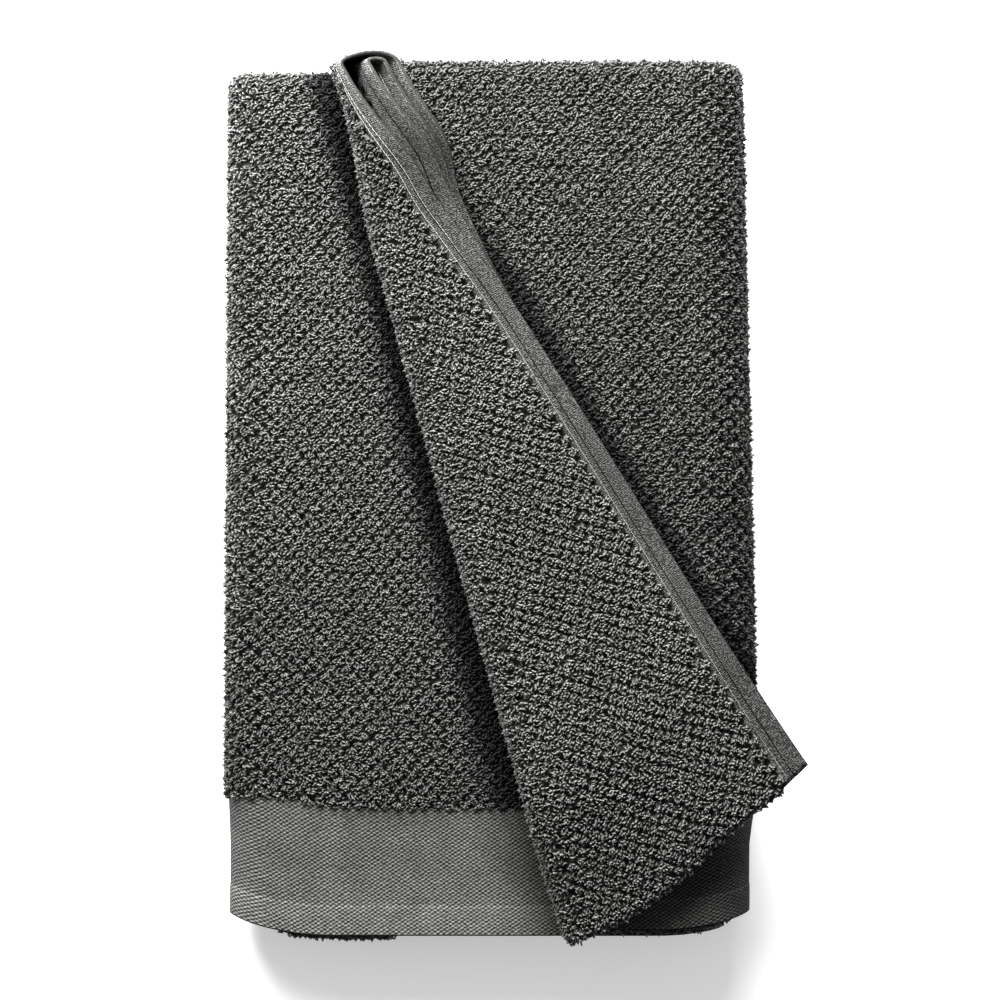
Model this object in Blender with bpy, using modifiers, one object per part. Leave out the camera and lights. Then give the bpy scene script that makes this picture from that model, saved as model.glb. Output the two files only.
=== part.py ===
"""A terry bath sheet, folded for the shelf.

The cloth is one sheet with a flat woven band and a turned hem across each end. It is folded
crosswise twice into four plies, then wound lengthwise into four panels, and the free side of
the top panel is turned back aslant as a flap. Every point of the sheet is found by following
its threads through those folds in that order. Units are metres and +Z is up.
"""

import math

import bmesh
import bpy
import numpy as np
from mathutils import Matrix

MM = 0.001

# The flat sheet
FLAT_WIDTH = 1016 * MM
FLAT_LENGTH = 1778 * MM
BAND = 66 * MM
END_HEM = 15 * MM
SIDE_HEM = 6.5 * MM
PLY = 2.4 * MM
BAND_PLY = 1.4 * MM
END_HEM_PLY = 2.0 * MM
SIDE_HEM_PLY = 1.9 * MM

# The folds
PITCH = 3.4 * MM
BUNDLE = 4 * PITCH
RUN = 439.5 * MM
BOTTOM_Y = -222.5 * MM
LEFT_X = -119.8 * MM
RIGHT_X = 106.5 * MM
PANEL = RIGHT_X - LEFT_X
BOTTOM_PANEL_Z = 1.5 * PITCH + PLY / 2
ASKEW = 4.5 * MM

# The flap: its left edge as seen from above, and how far its line slants from the stack's sides
FLAP_EDGE = (  # y, x
    (222 * MM, -89.4 * MM),
    (120 * MM, -59.4 * MM),
    (0 * MM, -27.3 * MM),
    (-120 * MM, 4.7 * MM),
    (-222 * MM, 36.1 * MM),
)
HEM_SHORT = (  # y, how far the flap's hem lies back
    (222 * MM, 0.0 * MM),
    (110 * MM, 3.5 * MM),
    (0 * MM, -1.0 * MM),
    (-110 * MM, -3.9 * MM),
    (-222 * MM, -2.5 * MM),
)
ROLL = BUNDLE / 2 + 0.3 * MM
SLANT_TOP = math.radians(13.5)
SLANT_BOTTOM = math.radians(19.0)
CORNER_DROP = 6.5 * MM
EDGE_BOW = 13 * MM
BOW_HEAD = -60 * MM

# The top of the flap, where its plies stand open like a fan
FAN_TOP = 222 * MM
FAN_FOOT = 120 * MM
FAN_OPEN = 1.3
FAN_REACH = 12 * MM
REACH_FOOT = 125 * MM
FAN_TURN = math.radians(130)
FAN_SQUARE = 0.8
OPEN_FOOT = 100 * MM
SHORT_TOP = 12 * MM
SHORT_FOOT = 150 * MM
SLIP = 6 * MM
SLIP_TOP = 180 * MM
SLIP_FOOT = 55 * MM
FAN_PLIES = (  # place in the bundle, opening, slip
    (-1.5 * PITCH, 0 * PITCH, -1.7),
    (-0.5 * PITCH, 0.5 * PITCH, -1.1),
    (0.5 * PITCH, 1.7 * PITCH, -0.6),
    (1.5 * PITCH, 3 * PITCH, 1.2),
)

# The stack's own give: its thin lower end, its unevenness, its sides and its lower corners
FLAT_UP_TO = 4 * MM
FREE_FROM = 30 * MM
SLUMP = 0.12
SLUMP_HEAD = -140 * MM
UNEVEN = 0.6 * MM
UNEVEN_ACROSS = 17 * MM
UNEVEN_UP = 31 * MM
UNEVEN_WINDING = 45 * MM
LEAN_LEFT = 0.004
LEAN_RIGHT = 0.024
LEAN_FOOT = -110 * MM
BAND_DRAWN_IN = 2.2 * MM
CORNER_HEAD = -150 * MM
CORNER_FROM = 0.75
CORNER_BEND = 50 * MM

# How finely each stretch is cut: its name and its number of cells
COLUMNS = (  # name, cells
    ("first panel", 2),
    ("inner turn", 5),
    ("second panel", 2),
    ("left turn", 6),
    ("bottom panel", 2),
    ("right turn", 7),
    ("top panel", 3),
    ("roll", 7),
    ("flap", 6),
)
HEIGHTS = (110 * MM, 180 * MM, 250 * MM, 315 * MM, 350 * MM, 380 * MM, 402 * MM, 422 * MM)
TURN_ROWS = (("outer turn", 5), ("lower turn", 4), ("inner turn", 4))


def ramp(value, start, end):
    """A smooth step: 0 at start, 1 at end, level beyond them."""
    share = np.clip((value - start) / (end - start), 0, 1)
    return share * share * (3 - 2 * share)


def walk(legs, distance, start, heading):
    """Points and headings at these distances along straight and round legs (length, turn)."""
    across = np.full(distance.shape, float(start[0]))
    up = np.full(distance.shape, float(start[1]))
    angle = np.full(distance.shape, float(heading))
    leg_heading = heading
    left = distance
    for length, turn in legs:
        gone = np.clip(left, 0, length)
        bend = turn * gone / length
        chord = gone * np.sinc(bend / (2 * np.pi))
        across = across + chord * np.cos(leg_heading + bend / 2)
        up = up + chord * np.sin(leg_heading + bend / 2)
        angle = angle + bend
        leg_heading = leg_heading + turn
        left = left - length
    return across, up, angle


def half_turn(radius, side=1):
    """A half circle to the left, or to the right where side is -1."""
    return (math.pi * radius, side * math.pi)


CROSS_LEGS = (
    (RUN, 0),
    half_turn(1.5 * PITCH),
    (RUN, 0),
    half_turn(0.5 * PITCH),
    (RUN, 0),
    half_turn(0.5 * PITCH, -1),
    (RUN, 0),
)
CROSS_LENGTH = sum(length for length, turn in CROSS_LEGS)


def crosswise(v):
    """Height up the stack, and offset in the bundle of four plies, of each length v down the sheet."""
    y, offset, _ = walk(CROSS_LEGS, v * CROSS_LENGTH / FLAT_LENGTH, (BOTTOM_Y, -1.5 * PITCH), 0)
    return y, offset


def fan_open(y):
    """How much wider than usual the flap's plies stand apart at its hem."""
    return FAN_OPEN * ramp(y, OPEN_FOOT, FAN_TOP)


def roll_turn(y):
    """How far round the roll goes: over flat, or only half over where the fan stands."""
    return math.pi - (math.pi - FAN_TURN) * ramp(y, FAN_FOOT, FAN_TOP)


def slant(y):
    """The slant of the flap's line at each height, nearly square where the fan stands."""
    share = (y - BOTTOM_Y) / RUN
    square = FAN_SQUARE * ramp(y, FAN_FOOT, FAN_TOP)
    return (SLANT_BOTTOM + (SLANT_TOP - SLANT_BOTTOM) * share) * (1 - square)


def through(points, y):
    """The quartic through five points (y, value)."""
    point_y, value = np.array(points).T
    return np.polyval(np.polyfit(point_y, value, 4), y)


def flap_edge(y):
    return through(FLAP_EDGE, y)


def roll_start(y):
    """Where the top panel leaves the stack to roll over."""
    reach = ROLL + 1.5 * PITCH + PLY / 2 + FAN_REACH * ramp(y, REACH_FOOT, FAN_TOP)
    return flap_edge(y) + reach / np.cos(slant(y))


WOUND_LEGS = (
    half_turn(BUNDLE / 2),
    (PANEL, 0),
    half_turn(BUNDLE),
    (PANEL, 0),
    half_turn(1.5 * BUNDLE),
)
FIRST_PANEL = PANEL - 4 * MM
TOP_LEG_START = FIRST_PANEL + sum(length for length, turn in WOUND_LEGS)


def sheet_reach(y):
    """Length of the wound path at each height, a little short where the fan stands."""
    return FLAT_WIDTH - through(HEM_SHORT, y) - SHORT_TOP * ramp(y, SHORT_FOOT, FAN_TOP)


def fan_ply(offset):
    """How far each ply opens in the fan, and how far it slips."""
    place_in_bundle, opening, slip = np.array(FAN_PLIES).T
    return np.interp(offset, place_in_bundle, opening), np.interp(offset, place_in_bundle, slip)


def wound(distance, y, offset):
    """Points and normals of the path wound round the stack and over the flap's roll."""
    top_length = RIGHT_X - roll_start(y)
    legs = ((FIRST_PANEL, 0), *WOUND_LEGS, (top_length, 0))
    start = (RIGHT_X - FIRST_PANEL, BOTTOM_PANEL_Z + BUNDLE)
    x, z, heading = walk(legs, distance, start, 0)
    past = distance - TOP_LEG_START - top_length
    free = sheet_reach(y) - TOP_LEG_START - top_length
    run_out = np.clip(past / free, 0, 1)
    share = ramp(run_out, 0, 1)
    past = past - share * SLIP * ramp(y, SLIP_FOOT, SLIP_TOP) * fan_ply(offset)[1]
    past = np.maximum(past, 0)
    lean = slant(y)
    turn = roll_turn(y)
    roll_legs = ((ROLL * turn, turn), (FLAT_WIDTH, 0))
    left, rise, rolled = walk(roll_legs, past * np.cos(lean), (0, 0), 0)
    x = x - left * np.cos(lean) - past * np.sin(lean) * np.sin(lean)
    y = y - left * np.sin(lean) + past * np.sin(lean) * np.cos(lean)
    bow = CORNER_DROP * run_out + 4 * EDGE_BOW * run_out * (1 - run_out)
    y = y - bow * ramp(y, BOW_HEAD, BOTTOM_Y)
    y = y + ASKEW * ramp(distance, TOP_LEG_START - PANEL, TOP_LEG_START)
    on_roll = past > 0
    normal_x = np.where(on_roll, -np.sin(rolled) * np.cos(lean), -np.sin(heading))
    normal_y = np.where(on_roll, -np.sin(rolled) * np.sin(lean), 0)
    normal_z = np.where(on_roll, -np.cos(rolled), np.cos(heading))
    return np.stack((x, y, z + rise), -1), np.stack((normal_x, normal_y, normal_z), -1), share


def settle(points):
    """The stack's own give: a lower end where the bands lie, and sides a little out of square."""
    x, y, z = points[..., 0], points[..., 1], points[..., 2]
    lifted = ramp(z, FLAT_UP_TO, FREE_FROM)
    z = z - z * lifted * SLUMP * ramp(y, SLUMP_HEAD, BOTTOM_Y)
    across = np.sin(x / UNEVEN_ACROSS + 1.3 * np.sin(y / UNEVEN_WINDING))
    z = z + UNEVEN * lifted * across * np.sin(y / UNEVEN_UP + 0.7)
    right = (x - LEFT_X) / PANEL
    band_top = BOTTOM_Y + BAND
    drawn_in = BAND_DRAWN_IN * ramp(y, band_top + 3 * MM, band_top - 4 * MM)
    x = x + y * LEAN_LEFT - right * np.maximum(y, LEAN_FOOT) * LEAN_RIGHT + drawn_in * (1 - 2 * right)
    corner = np.clip(np.abs(x) / (PANEL / 2) - CORNER_FROM, 0, 1)
    y = y + CORNER_BEND * corner * corner * ramp(y, CORNER_HEAD, BOTTOM_Y)
    return np.stack((x, y, z), -1)


def place(u, v):
    """Where the sheet's middle lies, u across its width and v down its length."""
    y, offset = crosswise(v)
    distance = u * sheet_reach(y) / FLAT_WIDTH
    points, normals, share = wound(distance, y, offset)
    apart = offset + fan_ply(offset)[0] * fan_open(y) * share
    return settle(points + normals * apart[..., None])


def thickness(u, v):
    """Terry, thinner in the woven bands, with the hems as strips of their own."""
    from_end = np.minimum(v, FLAT_LENGTH - v)
    from_side = np.minimum(u, FLAT_WIDTH - u)
    ply = np.where(from_end < BAND, BAND_PLY, PLY)
    ply = np.where(from_side < SIDE_HEM, np.minimum(ply, SIDE_HEM_PLY), ply)
    return np.where(from_end < END_HEM, END_HEM_PLY, ply)


def row_lengths():
    """The lengths v of the grid's rows, at the same heights in every ply, so that plies nest."""
    edges = (END_HEM - MM, END_HEM + MM, BAND - MM, BAND + MM)
    heights = np.array((0, *edges, *HEIGHTS, RUN))
    rows = [heights[:-1]]
    reached = RUN
    for number, (name, cells) in enumerate(TURN_ROWS):
        turn = CROSS_LEGS[2 * number + 1][0]
        rows.append(reached + turn * np.linspace(0, 1, cells + 1)[:-1])
        reached += turn
        ply = heights if number == 1 else RUN - heights[::-1]
        rows.append(reached + ply[:-1])
        reached += RUN
    rows.append([reached])
    return np.concatenate(rows) * FLAT_LENGTH / CROSS_LENGTH


def column_widths(y):
    """The widths u of the grid's columns at height y, so that columns follow the slanting roll."""
    top_length = RIGHT_X - roll_start(y)
    roll = ROLL * roll_turn(y) / np.cos(slant(y))
    reach = sheet_reach(y)
    lengths = [FIRST_PANEL, *(length for length, turn in WOUND_LEGS), top_length, roll]
    ends = np.cumsum([np.broadcast_to(length, y.shape) for length in lengths], axis=0)
    ends = np.concatenate((np.zeros((1, *y.shape)), ends, [reach - SIDE_HEM]))
    columns = []
    for (name, cells), start, end in zip(COLUMNS, ends, ends[1:]):
        columns += [start + (end - start) * cell / cells for cell in range(cells)]
    columns += [reach - SIDE_HEM - MM, reach - SIDE_HEM + MM, reach]
    return np.array(columns) * FLAT_WIDTH / reach


def cotton():
    material = bpy.data.materials.new("charcoal terry")
    material.use_nodes = True
    shader = material.node_tree.nodes["Principled BSDF"]
    shader.inputs["Base Color"].default_value = (0.075, 0.077, 0.082, 1)
    shader.inputs["Roughness"].default_value = 0.95
    shader.inputs["Metallic"].default_value = 0
    return material


def grid_mesh(name, rows, columns):
    """A grid whose vertices run column by column along each row."""
    mesh = bpy.data.meshes.new(name)
    shape = bmesh.new()
    bmesh.ops.create_grid(shape, x_segments=columns - 1, y_segments=rows - 1, size=1)
    shape.to_mesh(mesh)
    shape.free()
    return mesh


def centre(sheet):
    """Shifts the cloth so that the box round its solid stands centred on the origin."""
    bpy.context.view_layer.update()
    solid = sheet.evaluated_get(bpy.context.evaluated_depsgraph_get())
    corners = np.array([corner[:] for corner in solid.bound_box])
    low, high = corners.min(0), corners.max(0)
    middle = (low + high) / 2
    sheet.data.transform(Matrix.Translation((-middle[0], -middle[1], -low[2])))


def bath_sheet(collection):
    v = row_lengths()
    y, _ = crosswise(v)
    u = column_widths(y).T
    v = np.broadcast_to(v[:, None], u.shape)
    mesh = grid_mesh("bath_sheet", *u.shape)
    mesh.vertices.foreach_set("co", place(u, v).ravel())
    sheet = bpy.data.objects.new("bath_sheet", mesh)
    collection.objects.link(sheet)
    mesh.materials.append(cotton())
    share = (thickness(u, v) / PLY).ravel()
    group = sheet.vertex_groups.new(name="ply")
    for index, weight in enumerate(share):
        group.add([index], float(weight), "REPLACE")
    solid = sheet.modifiers.new("ply", "SOLIDIFY")
    solid.thickness = PLY
    solid.offset = 0
    solid.vertex_group = "ply"
    centre(sheet)


def clear():
    for old in list(bpy.data.objects):
        bpy.data.objects.remove(old, do_unlink=True)


clear()
FOLDED = bpy.data.collections.new("folded bath sheet")
bpy.context.scene.collection.children.link(FOLDED)
bath_sheet(FOLDED)
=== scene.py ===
# %% [markdown]
# # A folded terry bath sheet
# A bath sheet is one large piece of looped cotton. Each face is covered in small yarn loops, which
# stand on a woven ground. Near its two ends the loops stop and a flat woven band takes over, and
# each edge is turned under and stitched as a hem. This one is folded for the shelf and its last
# side is turned back, so it shows its face, its back and all its edges at once. We build it as the
# real one is made: first the cloth, then its loops, then the thread in its hems.
#
# First the solid model is loaded as a fixed frame.

import math

import bpy
import numpy as np
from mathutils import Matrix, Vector


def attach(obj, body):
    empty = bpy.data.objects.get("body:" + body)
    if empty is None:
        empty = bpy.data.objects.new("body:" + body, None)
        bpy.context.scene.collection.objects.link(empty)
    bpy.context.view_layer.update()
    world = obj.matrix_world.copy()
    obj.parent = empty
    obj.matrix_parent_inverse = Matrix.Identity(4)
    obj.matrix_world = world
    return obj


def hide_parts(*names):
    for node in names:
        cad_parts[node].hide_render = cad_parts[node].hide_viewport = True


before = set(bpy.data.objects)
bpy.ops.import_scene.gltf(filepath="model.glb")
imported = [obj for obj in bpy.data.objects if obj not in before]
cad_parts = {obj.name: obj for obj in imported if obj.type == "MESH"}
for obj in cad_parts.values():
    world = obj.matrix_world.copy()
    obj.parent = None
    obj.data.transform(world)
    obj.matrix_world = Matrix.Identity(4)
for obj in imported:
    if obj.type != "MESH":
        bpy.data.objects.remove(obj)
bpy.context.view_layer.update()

MM = 0.001

# %% [markdown]
# ## Camera
# The photograph looks straight down from well above, with little perspective. A long lens at 1.8 m
# gives that. Its width is set so that the frame spans 512 mm at the height of the folded cloth.

# %% Camera
CAMERA_HEIGHT = 1.8
FRAME_WIDTH = 0.512
FRAME_LEVEL = 0.05
CAMERA_OVER = (-6.67 * MM, 0.56 * MM)
SENSOR = 36

eye = bpy.data.cameras.new("camera")
eye.sensor_width = SENSOR
eye.lens = SENSOR * (CAMERA_HEIGHT - FRAME_LEVEL) / FRAME_WIDTH
camera = bpy.data.objects.new("camera", eye)
camera.location = (*CAMERA_OVER, CAMERA_HEIGHT)
bpy.context.scene.collection.objects.link(camera)
bpy.context.scene.camera = camera
print("lens", round(eye.lens, 1), "mm")

# %% [markdown]
# ## The folds
# A folded cloth could be simulated, but a cloth that is folded neatly keeps to straight runs and
# round turns, so its shape can be written down. A point of the flat sheet is given by u across its
# width and v down its length. The sheet was first folded crosswise, twice, into four plies. That
# fold takes v to a height y up the stack and an offset inside the bundle of plies. The bundle was
# then wound lengthwise round itself, which takes u to a place along a spiral of straight runs and
# half circles. The last stretch rolls back over a slanting line and becomes the flap.

# %% Sizes of the sheet and of its folds
FLAT_WIDTH = 1016 * MM
FLAT_LENGTH = 1778 * MM
BAND = 66 * MM
END_HEM = 15 * MM
SIDE_HEM = 7.5 * MM
SELVEDGE = 6 * MM
FIRST_ROW = BAND + 1 * MM
FIRST_TUFT = SIDE_HEM + 7.8 * MM
TUFTS = 147
PEBBLE_ACROSS = (FLAT_WIDTH - 2 * FIRST_TUFT) / (TUFTS - 0.5)
PEBBLE_DOWN = 7.8 * MM

PITCH = 3.4 * MM
BUNDLE = 4 * PITCH
RUN = 439.5 * MM
BOTTOM_Y = -222.5 * MM
LEFT_X = -119.8 * MM
RIGHT_X = 106.5 * MM
PANEL = RIGHT_X - LEFT_X
PLY = 2.4 * MM
BOTTOM_PANEL_Z = 1.5 * PITCH + PLY / 2
ASKEW = 4.5 * MM
CENTRE = (9.43 * MM, 1.98 * MM)

# %% Sizes of the flap and of the fan at its top
FLAP_EDGE = (  # y, x
    (222 * MM, -89.4 * MM),
    (120 * MM, -59.4 * MM),
    (0 * MM, -27.3 * MM),
    (-120 * MM, 4.7 * MM),
    (-222 * MM, 36.1 * MM),
)
HEM_SHORT = (  # y, how far the flap's hem lies back
    (222 * MM, 0.0 * MM),
    (110 * MM, 3.5 * MM),
    (0 * MM, -1.0 * MM),
    (-110 * MM, -3.9 * MM),
    (-222 * MM, -2.5 * MM),
)
ROLL = BUNDLE / 2 + 0.3 * MM
SLANT_TOP = math.radians(13.5)
SLANT_BOTTOM = math.radians(19.0)
CORNER_DROP = 6.5 * MM
EDGE_BOW = 13 * MM
BOW_HEAD = -60 * MM
FAN_TOP = 222 * MM
FAN_FOOT = 120 * MM
FAN_OPEN = 1.3
FAN_REACH = 12 * MM
REACH_FOOT = 125 * MM
FAN_TURN = math.radians(130)
FAN_SQUARE = 0.8
OPEN_FOOT = 100 * MM
SHORT_TOP = 12 * MM
SHORT_FOOT = 150 * MM
SLIP = 6 * MM
SLIP_TOP = 180 * MM
SLIP_FOOT = 55 * MM
FAN_PLIES = (  # place in the bundle, opening, slip
    (-1.5 * PITCH, 0 * PITCH, -1.7),
    (-0.5 * PITCH, 0.5 * PITCH, -1.1),
    (0.5 * PITCH, 1.7 * PITCH, -0.6),
    (1.5 * PITCH, 3 * PITCH, 1.2),
)

# %% Sizes of the stack's own give
FLAT_UP_TO = 4 * MM
FREE_FROM = 30 * MM
SLUMP = 0.12
SLUMP_HEAD = -140 * MM
UNEVEN = 0.6 * MM
UNEVEN_ACROSS = 17 * MM
UNEVEN_UP = 31 * MM
UNEVEN_WINDING = 45 * MM
UNEVEN_SWAY = 1.3
UNEVEN_START = 0.7
LEAN_LEFT = 0.004
LEAN_RIGHT = 0.024
LEAN_FOOT = -110 * MM
BAND_DRAWN_IN = 2.2 * MM
DRAWN_OVER = (3 * MM, -4 * MM)
CORNER_HEAD = -150 * MM
CORNER_FROM = 0.75
CORNER_BEND = 50 * MM
BAND_BOW = 5.5 * MM
BOW_FROM = -62 * MM
BOW_HEIGHT = 60 * MM
TURN_TUCKED = 5 * MM
TURN_SHOWS = (-110 * MM, -55 * MM)
SHOWS_FADE = (4 * MM, 8 * MM)
TUCK_HEIGHT = 50 * MM


# %% Follow straight and round legs
def ramp(value, start, end):
    """A smooth step: 3 s squared less 2 s cubed, with s the share of the way, clipped to 0..1."""
    share = np.clip((value - start) / (end - start), 0, 1)
    return share * share * (3 - 2 * share)


def walk(legs, distance, start, heading):
    """Points and headings at these distances along legs (length, turn).

    A leg that turns by b over a length g covers a chord of g times sin(b/2)/(b/2), along the
    heading halfway through the turn. A straight leg is the case b = 0.
    """
    across = np.full(distance.shape, float(start[0]))
    up = np.full(distance.shape, float(start[1]))
    angle = np.full(distance.shape, float(heading))
    leg_heading = heading
    left = distance
    for length, turn in legs:
        gone = np.clip(left, 0, length)
        bend = turn * gone / length
        chord = gone * np.sinc(bend / (2 * np.pi))
        across = across + chord * np.cos(leg_heading + bend / 2)
        up = up + chord * np.sin(leg_heading + bend / 2)
        angle = angle + bend
        leg_heading = leg_heading + turn
        left = left - length
    return across, up, angle


def half_turn(radius, side=1):
    """A half circle to the left, or to the right where side is -1."""
    return (math.pi * radius, side * math.pi)


# %% The crosswise fold: four plies
OUTER_TURN, LOWER_TURN = half_turn(1.5 * PITCH), half_turn(0.5 * PITCH)
CROSS_LEGS = (
    (RUN, 0),
    OUTER_TURN,
    (RUN, 0),
    LOWER_TURN,
    (RUN, 0),
    half_turn(0.5 * PITCH, -1),
    (RUN, 0),
)
CROSS_LENGTH = sum(length for length, turn in CROSS_LEGS)
OUTER_TURN_END = RUN + OUTER_TURN[0]
SECOND_PLY_END = OUTER_TURN_END + RUN
LOWER_TURN_END = SECOND_PLY_END + LOWER_TURN[0]


def crosswise(v):
    """Height y up the stack and offset in the bundle, of each length v down the sheet."""
    y, offset, _ = walk(CROSS_LEGS, v * CROSS_LENGTH / FLAT_LENGTH, (BOTTOM_Y, -1.5 * PITCH), 0)
    return y, offset


print("ply", round(RUN / MM, 1), "mm, whole path", round(CROSS_LENGTH / MM), "mm")


# %% The flap's line, its slant and its opening
def fan_open(y):
    """How far the fan stands open at each height y, from nothing at its foot."""
    return FAN_OPEN * ramp(y, OPEN_FOOT, FAN_TOP)


def roll_turn(y):
    """How far round the roll goes: half a turn, less where the fan stands."""
    return math.pi - (math.pi - FAN_TURN) * ramp(y, FAN_FOOT, FAN_TOP)


def slant(y):
    """A straight blend from the lower slant to the upper one, nearly square at the fan."""
    share = (y - BOTTOM_Y) / RUN
    square = FAN_SQUARE * ramp(y, FAN_FOOT, FAN_TOP)
    return (SLANT_BOTTOM + (SLANT_TOP - SLANT_BOTTOM) * share) * (1 - square)


def through(points, y):
    """The polynomial of the fourth degree through five points (y, value)."""
    point_y, value = np.array(points).T
    return np.polyval(np.polyfit(point_y, value, len(points) - 1), y)


def flap_edge(y):
    """Where the roll's outer side lies, as x at each height y."""
    return through(FLAP_EDGE, y)


def roll_start(y):
    """Where the top panel leaves the stack: the edge's place plus the roll's half width."""
    reach = ROLL + 1.5 * PITCH + PLY / 2 + FAN_REACH * ramp(y, REACH_FOOT, FAN_TOP)
    return flap_edge(y) + reach / np.cos(slant(y))


# %% The lengthwise winding: four panels and the flap
WOUND_LEGS = (
    half_turn(BUNDLE / 2),
    (PANEL, 0),
    half_turn(BUNDLE),
    (PANEL, 0),
    half_turn(1.5 * BUNDLE),
)
FIRST_PANEL = PANEL - 4 * MM
LEG_ENDS = np.cumsum([FIRST_PANEL, *(length for length, turn in WOUND_LEGS)])
SECOND_PANEL_START, LEFT_TURN_START = LEG_ENDS[1], LEG_ENDS[2]
BOTTOM_START, RIGHT_TURN_START, TOP_START = LEG_ENDS[3:]


def sheet_reach(y):
    """Length of the wound path at each height, a little short where the fan stands."""
    return FLAT_WIDTH - through(HEM_SHORT, y) - SHORT_TOP * ramp(y, SHORT_FOOT, FAN_TOP)


def fan_ply(offset):
    """How far each ply opens in the fan, and how far it slips, straight between the four."""
    place_in_bundle, opening, slip = np.array(FAN_PLIES).T
    return np.interp(offset, place_in_bundle, opening), np.interp(offset, place_in_bundle, slip)


def wound(distance, y, offset):
    """Points and normals of the path wound round the stack and over the flap's roll.

    Past the roll's start the path is walked in a plane square to the slanting line, and what is
    left of it runs along that line, so a straight thread stays straight when it is laid flat.
    """
    top_length = RIGHT_X - roll_start(y)
    legs = ((FIRST_PANEL, 0), *WOUND_LEGS, (top_length, 0))
    start = (RIGHT_X - FIRST_PANEL, BOTTOM_PANEL_Z + BUNDLE)
    x, z, heading = walk(legs, distance, start, 0)
    past = distance - TOP_START - top_length
    free = sheet_reach(y) - TOP_START - top_length
    run_out = np.clip(past / free, 0, 1)
    share = ramp(run_out, 0, 1)
    past = past - share * SLIP * ramp(y, SLIP_FOOT, SLIP_TOP) * fan_ply(offset)[1]
    past = np.maximum(past, 0)
    lean = slant(y)
    turn = roll_turn(y)
    roll_legs = ((ROLL * turn, turn), (FLAT_WIDTH, 0))
    left, rise, rolled = walk(roll_legs, past * np.cos(lean), (0, 0), 0)
    x = x - left * np.cos(lean) - past * np.sin(lean) * np.sin(lean)
    y = y - left * np.sin(lean) + past * np.sin(lean) * np.cos(lean)
    bow = CORNER_DROP * run_out + 4 * EDGE_BOW * run_out * (1 - run_out)
    y = y - bow * ramp(y, BOW_HEAD, BOTTOM_Y)
    y = y + ASKEW * ramp(distance, TOP_START - PANEL, TOP_START)
    on_roll = past > 0
    normal_x = np.where(on_roll, -np.sin(rolled) * np.cos(lean), -np.sin(heading))
    normal_y = np.where(on_roll, -np.sin(rolled) * np.sin(lean), 0)
    normal_z = np.where(on_roll, -np.cos(rolled), np.cos(heading))
    return np.stack((x, y, z + rise), -1), np.stack((normal_x, normal_y, normal_z), -1), share


def tucked(points, distance, offset):
    """The low turns lie back under the band's hem, but for one stretch where their loops show.

    They move up the stack by TURN_TUCKED, less with height and at the two ends of the stretch. The
    top panel's own turn stays where it is.
    """
    x, y, z = points[..., 0], points[..., 1], points[..., 2]
    start, end = TURN_SHOWS
    shows = ramp(x, start - SHOWS_FADE[0], start) * ramp(x, end + SHOWS_FADE[1], end)
    panel = ramp(distance, TOP_START, RIGHT_TURN_START)
    inner = ramp(offset, 0, PITCH / 2) * ramp(y, BOTTOM_Y + TUCK_HEIGHT, BOTTOM_Y)
    return np.stack((x, y + TURN_TUCKED * inner * panel * (1 - shows), z), -1)


def settle(points):
    """The stack's own give: a lower end where the bands lie, sides a little out of square.

    Heights shrink by the share SLUMP near the lower end and take on two crossed sine waves. The
    sides lean, the band is drawn in at both sides and bows at its left, and the corners of the
    lower end bend back by the square of how far they lie past CORNER_FROM.
    """
    x, y, z = points[..., 0], points[..., 1], points[..., 2]
    lifted = ramp(z, FLAT_UP_TO, FREE_FROM)
    z = z - z * lifted * SLUMP * ramp(y, SLUMP_HEAD, BOTTOM_Y)
    across = np.sin(x / UNEVEN_ACROSS + UNEVEN_SWAY * np.sin(y / UNEVEN_WINDING))
    z = z + UNEVEN * lifted * across * np.sin(y / UNEVEN_UP + UNEVEN_START)
    right = (x - LEFT_X) / PANEL
    band_top = BOTTOM_Y + BAND
    drawn_in = BAND_DRAWN_IN * ramp(y, band_top + DRAWN_OVER[0], band_top + DRAWN_OVER[1])
    x = x + y * LEAN_LEFT - right * np.maximum(y, LEAN_FOOT) * LEAN_RIGHT
    x = x + drawn_in * (1 - 2 * right)
    bow = BAND_BOW * ramp(x, BOW_FROM, LEFT_X) * ramp(y, band_top + BOW_HEIGHT, band_top)
    y = y + bow * ramp(y, BOTTOM_Y, band_top)
    corner = np.clip(np.abs(x) / (PANEL / 2) - CORNER_FROM, 0, 1)
    y = y + CORNER_BEND * corner * corner * ramp(y, CORNER_HEAD, BOTTOM_Y)
    return np.stack((x - CENTRE[0], y - CENTRE[1], z), -1)


def place(u, v):
    """Where the sheet's middle lies: the winding's point plus the offset along its normal."""
    y, offset = crosswise(v)
    distance = u * sheet_reach(y) / FLAT_WIDTH
    points, normals, share = wound(distance, y, offset)
    apart = offset + fan_ply(offset)[0] * fan_open(y) * share
    return settle(tucked(points + normals * apart[..., None], distance, offset))


# %% [markdown]
# ## The ground cloth
# The sheet's woven ground is one grid of points. Its rows lie at the same heights in all four plies
# so that the plies nest, and its columns follow the slanting roll. A Solidify modifier gives it its
# thickness, from a vertex group, because the hems are turned under and so are thicker.

# %% Rows and columns of the grid
GROUND = 1.5 * MM
END_HEM_PLY = 2.1 * MM
SIDE_HEM_PLY = 1.9 * MM

COLUMN_CELLS = (6, 8, 26, 16, 8, 18, 26, 16, 18)
TURN_CELLS = (12, 8, 6)
BAND_ROWS = (0, 0.7 * MM, END_HEM - MM, END_HEM + MM, 40 * MM, BAND - MM, BAND + MM)
HEIGHTS = np.concatenate((BAND_ROWS, np.linspace(BAND + 8 * MM, RUN, 40)))
HEM_COLUMNS = (SIDE_HEM + 0.4 * MM, SIDE_HEM - 0.4 * MM, SIDE_HEM / 2, 1.2 * MM, 0)


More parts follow.
